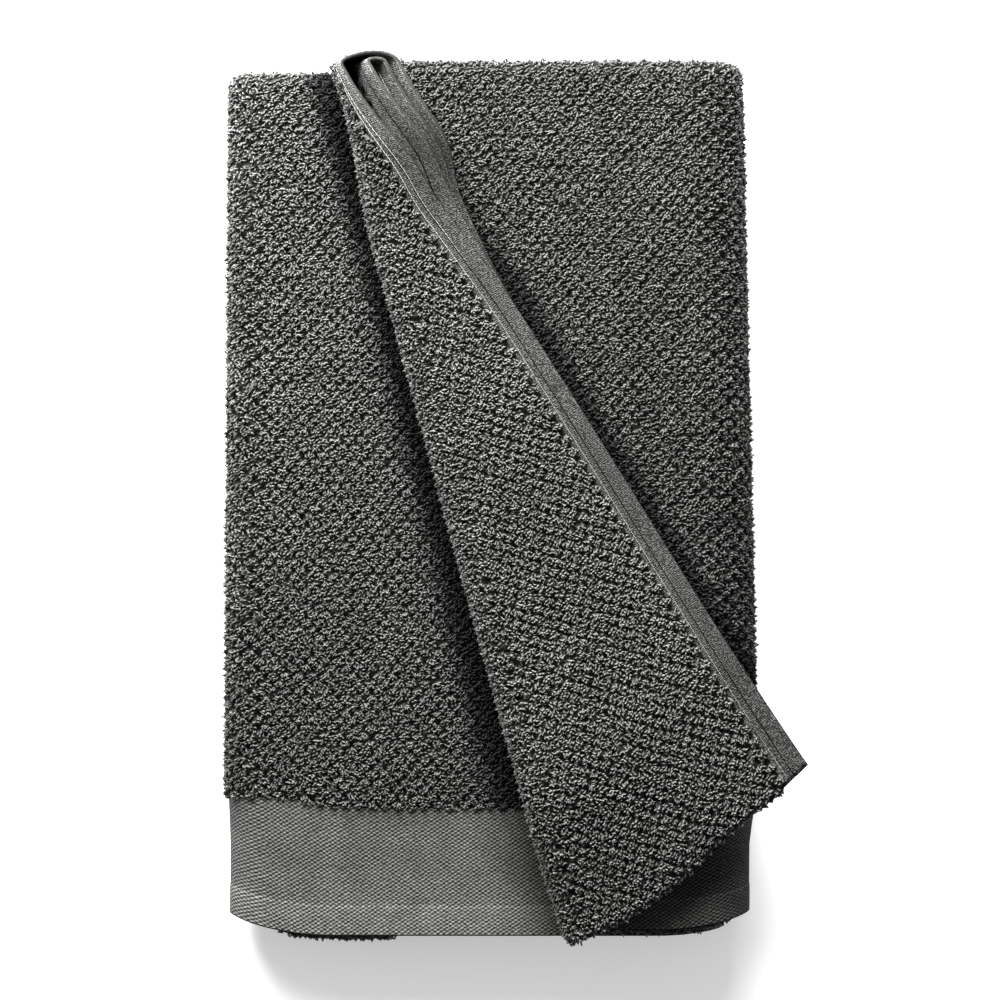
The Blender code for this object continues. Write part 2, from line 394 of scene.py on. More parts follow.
def row_lengths():
    """The lengths v of the rows, ply by ply, with the turns between them."""
    rows = [HEIGHTS[:-1]]
    reached = RUN
    for number, cells in enumerate(TURN_CELLS):
        turn = CROSS_LEGS[2 * number + 1][0]
        rows.append(reached + turn * np.linspace(0, 1, cells + 1)[:-1])
        reached += turn
        ply = HEIGHTS if number == 1 else RUN - HEIGHTS[::-1]
        rows.append(reached + ply[:-1])
        reached += RUN
    rows.append([reached])
    return np.concatenate(rows) * FLAT_LENGTH / CROSS_LENGTH


def column_widths(y):
    """The widths u of the columns at height y, evenly spread over each leg of the winding."""
    top_length = RIGHT_X - roll_start(y)
    roll = ROLL * roll_turn(y) / np.cos(slant(y))
    reach = sheet_reach(y)
    lengths = [FIRST_PANEL, *(length for length, turn in WOUND_LEGS), top_length, roll]
    ends = np.cumsum([np.broadcast_to(length, y.shape) for length in lengths], axis=0)
    ends = np.concatenate((np.zeros((1, *y.shape)), ends, [reach - SIDE_HEM]))
    columns = []
    for cells, start, end in zip(COLUMN_CELLS, ends, ends[1:]):
        columns += [start + (end - start) * cell / cells for cell in range(cells)]
    for inset in HEM_COLUMNS:
        columns.append(reach - inset)
    return np.array(columns) * FLAT_WIDTH / reach


def thickness(u, v):
    """The ground's thickness: more in the hems, and most in the end hems."""
    from_end = np.minimum(v, FLAT_LENGTH - v)
    from_side = np.minimum(u, FLAT_WIDTH - u)
    ply = np.where(from_side < SIDE_HEM, SIDE_HEM_PLY, GROUND)
    return np.where(from_end < END_HEM, END_HEM_PLY, ply)


# %% Put a grid of points into a mesh
def mesh_of(name, points, corners, starts):
    """A mesh from its points, its faces' corners one after another, and where each face starts."""
    mesh = bpy.data.meshes.new(name)
    mesh.vertices.add(len(points))
    mesh.vertices.foreach_set("co", points.astype(np.float32).ravel())
    mesh.loops.add(len(corners))
    mesh.loops.foreach_set("vertex_index", corners.astype(np.int32))
    mesh.polygons.add(len(starts))
    mesh.polygons.foreach_set("loop_start", starts.astype(np.int32))
    mesh.update(calc_edges=True)
    mesh.validate()
    mesh.shade_smooth()
    return mesh


def uv_map(mesh, name, corner_uv):
    """A UV map with one pair of values for each corner of each face."""
    layer = mesh.uv_layers.new(name=name)
    layer.uv.foreach_set("vector", corner_uv.astype(np.float32).ravel())


def piece(name, mesh, material):
    """An object at the origin, in the scene, with this finish."""
    made = bpy.data.objects.new(name, mesh)
    bpy.context.scene.collection.objects.link(made)
    mesh.materials.append(material)
    return made


# %% [markdown]
# ## Node helpers
# Materials are made of nodes. A few short helpers keep the node code readable: one adds a node and
# wires its inputs, one does the same for a Math node, and the others build on these two.

# %% Node helpers
def add(tree, kind, wires=(), **settings):
    """A node of this kind. wires pairs an input with a value or with another node's output."""
    node = tree.nodes.new(kind)
    for name, value in settings.items():
        setattr(node, name, value)
    for key, value in dict(wires).items():
        if isinstance(value, bpy.types.NodeSocket):
            tree.links.new(value, node.inputs[key])
        else:
            node.inputs[key].default_value = value
    return node


def maths(tree, operation, *values):
    """A Math node's result, for one, two or three values."""
    return add(tree, "ShaderNodeMath", enumerate(values), operation=operation).outputs[0]


def line(tree, value, slope, base):
    """The value times slope, plus base."""
    return maths(tree, "MULTIPLY_ADD", value, slope, base)


def toned(tree, tone, mask, most):
    """The tone as it is where the mask is 0, and times most where the mask is 1."""
    return maths(tree, "MULTIPLY", tone, line(tree, mask, most - 1, 1.0))


def mixed(tree, share, first, second):
    """The first value where the share is 0, the second where it is 1, and a blend between."""
    return add(tree, "ShaderNodeMix", {0: share, 2: first, 3: second}).outputs[0]


def stretched(tree, value, low, high):
    """The value with low moved to 0 and high to 1, and clipped there."""
    return add(tree, "ShaderNodeMapRange", {0: value, 1: low, 2: high}).outputs[0]


def noise(tree, where, scale, detail, output=0):
    """Noise at these coordinates, as a value, or as a colour where output is 1."""
    made = add(tree, "ShaderNodeTexNoise", {"Vector": where, "Scale": scale, "Detail": detail})
    return made.outputs[output]


def grey(tree, value):
    """The same value in all three channels."""
    return add(tree, "ShaderNodeCombineXYZ", {0: value, 1: value, 2: value}).outputs[0]


def shaded(tree, colour, tone):
    """A colour times a tone."""
    return add(tree, "ShaderNodeMix", {0: 1.0, 6: colour, 7: grey(tree, tone)},
               data_type="RGBA", blend_type="MULTIPLY").outputs[2]


def set_inputs(shader, values):
    """Plain values for a shader's inputs, by name."""
    for name, value in values.items():
        shader.inputs[name].default_value = value


def group(name, inputs, outputs):
    """A new shader node group with these sockets: (name, kind, value) and (name, kind)."""
    tree = bpy.data.node_groups.new(name, "ShaderNodeTree")
    for label, kind, value in inputs:
        socket = tree.interface.new_socket(label, in_out="INPUT", socket_type=f"NodeSocket{kind}")
        if value is not None:
            socket.default_value = value
    for label, kind in outputs:
        tree.interface.new_socket(label, in_out="OUTPUT", socket_type=f"NodeSocket{kind}")
    source = tree.nodes.new("NodeGroupInput")
    sink = tree.nodes.new("NodeGroupOutput")
    return tree, source.outputs, sink


def material(name):
    """A new material, its node tree and its Principled BSDF."""
    made = bpy.data.materials.new(name)
    made.use_nodes = True
    return made, made.node_tree, made.node_tree.nodes["Principled BSDF"]


# %% [markdown]
# ## Dyed cotton
# Every part of the sheet is the same charcoal cotton. What differs is how the yarn lies. So one
# group gives the dyed colour, with the slight unevenness of a vat dye and of worn fibre, and each
# material adds its own weave to it. A plain colour would look like plastic, and a picture of cloth
# would repeat, so the unevenness is noise on the object's own coordinates.

# %% The dye group
DYE = (0.130, 0.130, 0.126, 1)
VAT_SCALE = 22
FIBRE_SCALE = 900


def dye_group():
    """The colour times 1 plus unevenness times (a wide noise plus a fine one, less 1)."""
    tree, given, sink = group(
        "cotton dye",
        [("Colour", "Color", DYE), ("Unevenness", "Float", 0.25)],
        [("Colour", "Color")],
    )
    where = add(tree, "ShaderNodeTexCoord").outputs["Object"]
    both = maths(tree, "ADD", noise(tree, where, VAT_SCALE, 3), noise(tree, where, FIBRE_SCALE, 2))
    gain = line(tree, maths(tree, "SUBTRACT", both, 1.0), given["Unevenness"], 1.0)
    tree.links.new(shaded(tree, given["Colour"], gain), sink.inputs["Colour"])
    return tree


DYED = dye_group()

# %% [markdown]
# ## The woven face
# The ground, the flat band and the hems are woven yarn. On the sheet the band is a small lozenge
# weave: short bright floats in staggered rows, with dark gaps between. The hems are finely ribbed
# across their edge. Both are drawn from the cloth's own map in millimetres, so they bend with it.
# A first group finds the zones of the cloth on that map, and a second one draws the two weaves.

# %% The zones of the cloth, in millimetres on its map
SEAM = 0.7
RIM = 0.625
ZONE_NAMES = ("Woven", "Ribbed", "End hem", "Side seam", "Mound", "Inside", "End seam")


def zones_group():
    """The zones that follow from how far each point lies from the nearer end and side.

    Most are 1 inside and 0 outside. Mound follows the pebbles, as the product of two cosines, and
    Inside rises from 0 at the cloth's very edge to 1 past its rim.
    """
    tree, given, sink = group(
        "zones of the cloth",
        [("Cloth", "Vector", None)],
        [(name, "Float") for name in ZONE_NAMES],
    )
    at = add(tree, "ShaderNodeSeparateXYZ", {0: given["Cloth"]}).outputs
    side = maths(tree, "MINIMUM", at[0], maths(tree, "SUBTRACT", FLAT_WIDTH / MM, at[0]))
    end = maths(tree, "MINIMUM", at[1], maths(tree, "SUBTRACT", FLAT_LENGTH / MM, at[1]))
    ribbed = maths(tree, "LESS_THAN", side, (SIDE_HEM + SELVEDGE) / MM)
    band = maths(tree, "LESS_THAN", end, BAND / MM)
    end_hem = maths(tree, "LESS_THAN", end, END_HEM / MM)
    from_seam = maths(tree, "ABSOLUTE", maths(tree, "SUBTRACT", side, SIDE_HEM / MM + SEAM / 2))
    from_end_seam = maths(tree, "ABSOLUTE", maths(tree, "SUBTRACT", end, END_HEM / MM))
    from_rim = maths(tree, "DIVIDE", maths(tree, "MINIMUM", side, end), RIM)
    waves = []
    for along, first, period in (
        (at[0], FIRST_TUFT, PEBBLE_ACROSS),
        (at[1], FIRST_ROW, PEBBLE_DOWN),
    ):
        turns = maths(tree, "SUBTRACT", along, first / MM)
        turns = maths(tree, "MULTIPLY", turns, 2 * math.pi * MM / period)
        waves.append(maths(tree, "COSINE", turns))
    found = (
        maths(tree, "MAXIMUM", band, ribbed),
        ribbed,
        end_hem,
        maths(tree, "LESS_THAN", from_seam, SEAM / 2),
        line(tree, maths(tree, "MULTIPLY", *waves), 0.5, 0.5),
        maths(tree, "MINIMUM", from_rim, 1),
        maths(tree, "LESS_THAN", from_end_seam, SEAM),
    )
    for name, value in zip(ZONE_NAMES, found):
        tree.links.new(value, sink.inputs[name])
    return tree


# %% The weaves, in millimetres on the same map
FLOAT_ACROSS = 3.1
FLOAT_DOWN = 2.0
RIB = 1.05
BEND_SCALE = 0.5
BEND = (0.9, 0.9, 0)
FALLING_SHARE = 0.42
FLOAT_CUT = (0.15, 0.85)
GRAIN_SCALE = 1300
GRAIN_CUT = (0.36, 0.64)
FLOAT_GRAIN = 0.3
RIB_GRAIN = 0.65
# The rim's low height is also a painted shade along the cloth's edges.
RIM_HEIGHT_AND_SHADE = (0.2, 0.03)  # times the grain, plus


def wave(tree, value, period):
    """A sine wave of this period, from 0 to 1."""
    turns = maths(tree, "MULTIPLY", value, 2 * math.pi / period)
    return line(tree, maths(tree, "SINE", turns), 0.5, 0.5)


def weave_group():
    """Floats: a weighted mean of a rising and a falling slanting wave. Ribs: one wave.

    The map is bent a little first. Grain is blended in, more in the ribs than in the floats, and
    the rim has grain alone, kept low, which paints a shade along the cloth's edges.
    """
    tree, given, sink = group(
        "flat weave",
        [("Cloth", "Vector", None), ("Ribbed", "Float", 0.0), ("Inside", "Float", 1.0)],
        [("Height", "Float"), ("Grain", "Float")],
    )
    fuzz = noise(tree, given["Cloth"], BEND_SCALE, 1, output=1)
    fuzz = add(tree, "ShaderNodeVectorMath", {0: fuzz, 1: (0.5, 0.5, 0.5)}, operation="SUBTRACT")
    bent = add(tree, "ShaderNodeVectorMath", {0: fuzz.outputs[0], 1: BEND, 2: given["Cloth"]},
               operation="MULTIPLY_ADD").outputs[0]
    at = add(tree, "ShaderNodeSeparateXYZ", {0: bent}).outputs
    across = maths(tree, "DIVIDE", at[0], FLOAT_ACROSS)
    down = maths(tree, "DIVIDE", at[1], FLOAT_DOWN)
    rising = wave(tree, maths(tree, "ADD", across, down), 1)
    falling = wave(tree, maths(tree, "SUBTRACT", across, down), 1)
    floats = stretched(tree, mixed(tree, FALLING_SHARE, rising, falling), *FLOAT_CUT)
    where = add(tree, "ShaderNodeTexCoord").outputs["Object"]
    grain = stretched(tree, noise(tree, where, GRAIN_SCALE, 1), *GRAIN_CUT)
    pattern = mixed(tree, given["Ribbed"], floats, wave(tree, at[1], RIB))
    share = line(tree, given["Ribbed"], RIB_GRAIN - FLOAT_GRAIN, FLOAT_GRAIN)
    height = mixed(tree, share, pattern, grain)
    # the rim's low height is also a painted shade along the cloth's edges
    height = mixed(tree, given["Inside"], line(tree, grain, *RIM_HEIGHT_AND_SHADE), height)
    tree.links.new(height, sink.inputs["Height"])
    tree.links.new(grain, sink.inputs["Grain"])
    return tree


ZONES, WOVEN = zones_group(), weave_group()


# %% The cloth's finish
HEIGHT_TONE = (1.85, 0.2)  # times the weave's height to the power 1.5, plus
WORN_SCALE = 0.07
WORN_TONE = (0.5, 0.73)
RIBBED_TONE = 0.64
END_HEM_TONE = 1.12
END_SEAM_TONE = 1.25
# Painted shade in the groove along the side hem's seam.
SIDE_SEAM_PAINTED_SHADE = 0.2
# Painted shade on the weave where the pile is crushed, and a painted highlight on the fan's hems.
CRUSHED_WEAVE_SHADE_AND_SHEEN = 0.6
# Painted shade: the ground between the loops is darkest in the dips between the pebbles.
MOUND_PAINTED_SHADE = (0.85, 0.05)  # times the mound to the power 1.3, plus
BETWEEN_TONE = (1.5, 0.2)
# Painted shade on the ground where the pile is crushed.
CRUSHED_GROUND_SHADE = 0.1
WEAVE_RELIEF = 0.3 * MM


def cloth_finish():
    """The dye times a tone. Woven cloth is lighter where its weave stands high.

    Between the loops the tone follows the grain, with painted shade in the dips between the pebbles.
    Where the pile is crushed beside the roll and under the flap's hem, the ground and the weave get
    painted shade, and the hems that stand on edge in the fan get a painted highlight. The weave's
    height also gives it its relief.
    """
    made, tree, shader = material("charcoal woven cotton")
    flat = add(tree, "ShaderNodeUVMap", uv_map="cloth").outputs[0]
    zone = add(tree, "ShaderNodeGroup", {"Cloth": flat}, node_tree=ZONES).outputs
    placed = {"Cloth": flat, "Ribbed": zone["Ribbed"], "Inside": zone["Inside"]}
    weave = add(tree, "ShaderNodeGroup", placed, node_tree=WOVEN).outputs
    dye = add(tree, "ShaderNodeGroup", {"Unevenness": 0.25}, node_tree=DYED).outputs[0]
    crush_and_painted_light = add(tree, "ShaderNodeAttribute", attribute_name="crush_and_painted_light").outputs["Fac"]
    woven = line(tree, maths(tree, "POWER", weave["Height"], 1.5), *HEIGHT_TONE)
    worn = line(tree, noise(tree, flat, WORN_SCALE, 2), *WORN_TONE)
    woven = maths(tree, "MULTIPLY", woven, worn)
    woven = toned(tree, woven, zone["Ribbed"], RIBBED_TONE)
    woven = toned(tree, woven, zone["End hem"], END_HEM_TONE)
    woven = toned(tree, woven, zone["End seam"], END_SEAM_TONE)
    # painted shade where the pile is crushed, and a painted highlight on the fan's hems
    woven = toned(tree, woven, crush_and_painted_light, CRUSHED_WEAVE_SHADE_AND_SHEEN)
    # painted shade: the ground is darkest in the dips between the pebbles
    between = line(tree, maths(tree, "POWER", zone["Mound"], 1.3), *MOUND_PAINTED_SHADE)
    between = maths(tree, "MULTIPLY", between, line(tree, weave["Grain"], *BETWEEN_TONE))
    # painted shade on the ground where the pile is crushed
    between = toned(tree, between, crush_and_painted_light, CRUSHED_GROUND_SHADE)
    tone = mixed(tree, zone["Woven"], between, woven)
    # painted shade in the groove along the side hem's seam
    tone = toned(tree, tone, zone["Side seam"], SIDE_SEAM_PAINTED_SHADE)
    tree.links.new(shaded(tree, dye, tone), shader.inputs["Base Color"])
    relief = {"Height": weave["Height"], "Distance": WEAVE_RELIEF, "Strength": 1.0}
    bump = add(tree, "ShaderNodeBump", relief)
    tree.links.new(bump.outputs[0], shader.inputs["Normal"])
    set_inputs(shader, {"Roughness": 0.95, "Specular IOR Level": 0.12})
    return made


WOVEN_COTTON = cloth_finish()


# %% Build the ground cloth
def grid():
    """The widths u and lengths v of all the grid's points."""
    v = row_lengths()
    y, _ = crosswise(v)
    u = column_widths(y).T
    return u, np.broadcast_to(v[:, None], u.shape)


def ground_cloth():
    """The grid of place(u, v), its faces wound so that the sheet's outer face points outwards."""
    u, v = grid()
    rows, columns = u.shape
    index = np.arange(rows * columns).reshape(rows, columns)
    corners = np.stack((index[:-1, :-1], index[1:, :-1], index[1:, 1:], index[:-1, 1:]), -1)
    corners = corners.reshape(-1)
    starts = np.arange(0, len(corners), 4)
    mesh = mesh_of("bath_sheet_cloth", place(u, v).reshape(-1, 3), corners, starts)
    flat = np.stack((u, v), -1).reshape(-1, 2) / MM
    uv_map(mesh, "cloth", flat[corners])
    cloth = piece("bath_sheet_cloth", mesh, WOVEN_COTTON)
    plies = cloth.vertex_groups.new(name="ply")
    ply = thickness(u, v)
    for value in np.unique(ply):
        plies.add(np.flatnonzero(ply == value).tolist(), value / END_HEM_PLY, "REPLACE")
    solid = cloth.modifiers.new("ply", "SOLIDIFY")
    solid.thickness = END_HEM_PLY
    solid.offset = 0
    solid.vertex_group = "ply"
    print("ground cloth", rows, "x", columns, "points")
    return cloth


CLOTH = ground_cloth()

# %% [markdown]
# ## The pile
# Terry pile stands in pebbles: tufts of a few twisted loops, 6.7 mm apart across the cloth, in rows
# 3.9 mm apart that are staggered by half a step. A bump map would look flat at the edges of the
# stack, and hair would be too fine, so each loop is a short arch of yarn with its feet in the
# ground. One function makes all the arches of a region at once. Only cloth that can be seen gets
# pile, because the rest is pressed between the plies. Beside the roll and under the flap's hem the
# pile is crushed, so its loops are lower there, and they get painted shade. The loops of the top
# panels are also painted darker towards the stack's lower end and on the right panel, as painted
# shade.

# %% Where pebbles stand on the flat sheet
PLACED_WITHIN = 0.28 * MM
rng = np.random.default_rng(7)


def pebble_rows():
    """A staggered lattice over the flat sheet: every second row moves half a period across.

    The outer ply of the roll is stretched to nearly twice its length, so it gets tufts in between.
    """
    down = np.arange(FIRST_ROW, FLAT_LENGTH - BAND, PEBBLE_DOWN / 2)
    v, u = np.meshgrid(down, FIRST_TUFT + PEBBLE_ACROSS * np.arange(TUFTS), indexing="ij")
    u = (u + (np.arange(len(down)) % 2)[:, None] * PEBBLE_ACROSS / 2).ravel()
    v = v.ravel()
    between = u + PEBBLE_ACROSS / 2
    y, _ = crosswise(v)
    past = between * sheet_reach(y) / FLAT_WIDTH - TOP_START - (RIGHT_X - roll_start(y))
    on_roll = (past > 0) & (past < ROLL * math.pi)
    u = np.concatenate((u, between[on_roll]))
    v = np.concatenate((v, v[on_roll]))
    u = u + rng.normal(0, PLACED_WITHIN, u.shape)
    return u, v + rng.normal(0, PLACED_WITHIN, v.shape)


def face_at(u, v, side=1):
    """Points of the sheet's outer face, its normals, and its directions across and down.

    The directions are small differences of place, and their cross product is the normal. With
    side -1 the points and normals are those of its other face.
    """
    step = 0.4 * MM
    across = place(u + step, v) - place(u - step, v)
    down = place(u, v + step) - place(u, v - step)
    across = across / np.linalg.norm(across, axis=-1, keepdims=True)
    down = down / np.linalg.norm(down, axis=-1, keepdims=True)
    normal = side * np.cross(down, across)
    normal = normal / np.linalg.norm(normal, axis=-1, keepdims=True)
    return place(u, v) + normal * thickness(u, v)[..., None] / 2, normal, across, down


# %% Which pebbles show
UNDER_FLAP = 14 * MM
FACING_UP = 0.25
FACING_DOWN = -0.55
OFF_FLOOR = 1.4 * MM
PAST_TURN = 3 * MM
BEFORE_ROLL = 4 * MM
RIGHT_SPLIT = 60 * MM
HEM_SAMPLES = 90
CRUSHED_BY_ROLL = 20 * MM
MORE_BELOW = 8 * MM
FULLY_CRUSHED = 0.1
CRUSHED_BY_HEM = 13 * MM
MORE_ABOVE = 9 * MM
HEM_LIFTS = (30 * MM, 120 * MM)
# Painted highlight: how much lighter the fan's hems that stand on edge are painted, and from which
# height.
FAN_HEM_PAINTED_SHEEN = 3.5
PAINTED_SHEEN_FROM = 95 * MM


def flap_hem(y):
    """Where the flap's hem lies, as x at each y, read off its placed edge."""
    path = OUTER_TURN_END + np.linspace(0, RUN, HEM_SAMPLES)
    hem = place(np.full(path.shape, FLAT_WIDTH), path * FLAT_LENGTH / CROSS_LENGTH)
    order = np.argsort(hem[:, 1])
    return np.interp(y, hem[order, 1], hem[order, 0])


def region(u, v):
    """The part of the stack that each pebble lies on, as a name, or nothing where it is hidden."""
    y, _ = crosswise(v)
    path = v * CROSS_LENGTH / FLAT_LENGTH
    distance = u * sheet_reach(y) / FLAT_WIDTH
    past = distance - TOP_START - (RIGHT_X - roll_start(y))
    points, normal, _, _ = face_at(u, v)
    x, up = points[..., 0], normal[..., 2] > FACING_UP
    top_turn = (path >= RUN) & (path <= OUTER_TURN_END)
    low_turn = (path >= SECOND_PLY_END) & (path <= LOWER_TURN_END + PAST_TURN)
    first = path < RUN
    second = (path > OUTER_TURN_END) & (path < SECOND_PLY_END)
    left = (distance > SECOND_PANEL_START) & (x < flap_edge(y) - CENTRE[0] + UNDER_FLAP)
    right = (distance > RIGHT_TURN_START) & (past < 0) & (x > flap_hem(points[..., 1]) - UNDER_FLAP)
    flap = past > -BEFORE_ROLL
    names = np.full(u.shape, "", dtype="U12")
    names[top_turn & ~up] = "top_end"
    names[low_turn] = "lower_end"
    names[first & ~up & (distance > LEFT_TURN_START) & (distance < BOTTOM_START)] = "left_side"
    names[first & ~up & (distance > RIGHT_TURN_START) & (distance < TOP_START)] = "right_side"
    above = (first | top_turn) & up
    names[above & left & (distance < BOTTOM_START) & (y > 0)] = "left_upper"
    names[above & left & (distance < BOTTOM_START) & (y <= 0)] = "left_lower"
    names[above & right & (y > RIGHT_SPLIT)] = "right_upper"
    names[above & right & (y <= RIGHT_SPLIT)] = "right_lower"
    names[(second | top_turn) & flap & (y > 0)] = "flap_upper"
    names[(second | low_turn & up) & flap & (y <= 0)] = "flap_lower"
    names[(points[..., 2] < OFF_FLOOR) | (normal[..., 2] < FACING_DOWN)] = ""
    return names


def crush_and_painted_light_at(u, v):
    """How far the pile is crushed: 1 beside the roll and under the flap's hem, 0 clear of them.

    It lowers the loops there and paints shade on them and on the ground. It is below 0 on the hems
    that stand on edge in the fan, where it paints a highlight on their weave.
    """
    y, _ = crosswise(v)
    points, normal, _, _ = face_at(u, v)
    reach = CRUSHED_BY_ROLL - MORE_BELOW * y / FAN_TOP
    from_roll = 1 - ramp((flap_edge(y) - CENTRE[0] - points[..., 0]) / reach, FULLY_CRUSHED, 1)
    reach = CRUSHED_BY_HEM + MORE_ABOVE * ramp(y, *HEM_LIFTS)
    from_hem = 1 - ramp((points[..., 0] - flap_hem(points[..., 1])) / reach, 0, 1)
    distance = u * sheet_reach(y) / FLAT_WIDTH
    top = distance < TOP_START + RIGHT_X - roll_start(y)
    on_top = (normal[..., 2] > 0) & (v * CROSS_LENGTH / FLAT_LENGTH < OUTER_TURN_END)
    beside = np.where(distance < BOTTOM_START, from_roll, np.where(top, from_hem, 0))
    crush_and_painted_light = np.where(on_top & (distance > SECOND_PANEL_START), beside, 0)
    on_edge = (u > FLAT_WIDTH - SIDE_HEM - SELVEDGE) * ramp(y, PAINTED_SHEEN_FROM, FAN_TOP)
    return crush_and_painted_light - FAN_HEM_PAINTED_SHEEN * on_edge


# %% Arches of yarn
YARN = 0.58 * MM
SIDES = 3
MARGIN = 0.1
CAP_HEIGHT = 0.2


def yarn_mesh(name, paths, out, tone, radius):
    """Tubes with a few flat sides, one along each path of points.

    At each point two directions square to the path are found from the path's own direction and
    from out, the way the loop stands. The tube's corners lie round the point on a circle in them.
    The attribute "yarn" holds how near each point is to the crown, and the loop's own tone.
    """
    count, rings, _ = paths.shape
    along = np.gradient(paths, axis=1)
    along /= np.linalg.norm(along, axis=-1, keepdims=True)
    side = np.cross(along, np.broadcast_to(out, paths.shape))
    side /= np.maximum(np.linalg.norm(side, axis=-1, keepdims=True), 1e-9)
    up = np.cross(side, along)
    turn = np.pi / 2 + 2 * np.pi * np.arange(SIDES) / SIDES
    spoke = (np.cos(turn)[:, None] * side[:, :, None] + np.sin(turn)[:, None] * up[:, :, None])
    points = paths[:, :, None] + spoke * radius[:, None, None, None]
    index = np.arange(count * rings * SIDES).reshape(count, rings, SIDES)
    nearer, further = index[:, :-1], index[:, 1:]
    around = np.roll(index, -1, axis=2)
    walls = np.stack((nearer, around[:, :-1], around[:, 1:], further), -1).reshape(count, -1)
    caps = np.concatenate((index[:, 0, ::-1], index[:, -1]), -1)
    corners = np.concatenate((walls, caps), 1)
    wall_faces = (rings - 1) * SIDES
    starts = np.concatenate((np.arange(wall_faces) * 4, wall_faces * 4 + np.array([0, SIDES])))
    starts = starts + np.arange(count)[:, None] * corners.shape[1]
    mesh = mesh_of(name, points.reshape(-1, 3), corners.ravel(), starts.ravel())
    length = np.linspace(0, 1, rings)
    crown = np.sin(np.pi * length)[None, :, None] * np.ones((count, 1, SIDES))
    looks = np.stack((crown, np.broadcast_to(tone[:, None, None], crown.shape), crown * 0), -1)
    yarn = mesh.attributes.new("yarn", "FLOAT_VECTOR", "POINT")
    yarn.data.foreach_set("vector", looks.astype(np.float32).ravel())
    bake_map(mesh, count, rings)
    return mesh


def bake_map(mesh, count, rings):
    """A map with a small square of its own for each tube: its sides run across, its length up."""
    wide = math.ceil(math.sqrt(count))
    cell = np.stack((np.arange(count) % wide, np.arange(count) // wide), -1) / wide
    ring, side = np.meshgrid(np.arange(rings - 1), np.arange(SIDES), indexing="ij")
    x = np.stack((side, side + 1, side + 1, side), -1) / SIDES
    y = np.stack((ring, ring, ring + 1, ring + 1), -1) / (rings - 1)
    walls = np.stack((x, y), -1).reshape(-1, 2)
    cap = np.stack((np.arange(SIDES) / SIDES, np.arange(SIDES) % 2 * CAP_HEIGHT), -1)
    inside = np.concatenate((walls, cap, 1 - cap))
    uv = cell[:, None] + (MARGIN + (1 - 2 * MARGIN) * inside[None]) / wide
    uv_map(mesh, "OFBake", uv.reshape(-1, 2))


# %% Arches from foot to foot
FOOT_DEPTH = 0.25 * MM


def arches(centre, normal, across, down, span, height, angle, lean, curl, rings):
    """Paths of arches: an ellipse's half, from foot to foot, with a sideways bend for the twist.

    With t from 0 to 1 along the yarn, it goes -cos(pi t) half spans along, sin(pi t) heights up,
    and lean sin(pi t) plus curl sin(2 pi t) half spans sideways. Its feet are sunk in the cloth.
    """
    t = np.linspace(0, 1, rings)[None, :, None]
    run = np.cos(angle)[:, None] * across + np.sin(angle)[:, None] * down
    side = np.cross(normal, run)
    half, height = span[:, None, None] / 2, height[:, None, None]
    sway = lean[:, None, None] * np.sin(np.pi * t) + curl[:, None, None] * np.sin(2 * np.pi * t)
    rise = np.sin(np.pi * t) * height - FOOT_DEPTH
    along = centre[:, None] - np.cos(np.pi * t) * half * run[:, None]
    return along + rise * normal[:, None] + sway * half * side[:, None]


# %% Loops of one region
LOOP_SPOTS = (  # places inside a pebble, as shares of its half sizes, the outer ones last
    (0, 0.1), (0.6, -0.25), (-0.6, 0.3), (0.35, 0.75), (-0.35, -0.7), (0.5, -0.95), (-0.5, 0.95),
    (1.0, 0.4), (-1.0, -0.3),
)
TUFT_ACROSS = 2.3 * MM
TUFT_DOWN = 1.7 * MM
TUFT_REACH = 1.3
LOOP_RINGS = 3
LOOP_LOW = 0.7 * MM
LOOP_MORE = 1.8 * MM
LOOP_SPAN = (1.7 * MM, 2.8 * MM)
LOOSE_ON_TOP = 0.14
LOOSE_ON_WALLS = 0.8
# Painted shade: the top panels' loops darker towards the stack's lower end, and on the right panel.
PAINTED_SHADE_DOWN = 0.25
PAINTED_SHADE_SPAN = (120 * MM, -160 * MM)
PAINTED_SHADE_RIGHT = 0.28
CRUSHED_LOWER = 0.4
# Painted shade on crushed loops.
CRUSHED_PAINTED_SHADE = 1.3
WALLS = ("left_side", "right_side", "top_end", "lower_end")
WALL_SPOTS = 7
WALL_GRAIN = 135
GRAIN = {  # degrees from the sheet's width to the loops' run
    "left_upper": 135, "left_lower": 135, "right_upper": 142, "right_lower": 142,
    "flap_upper": 167, "flap_lower": 167,
}


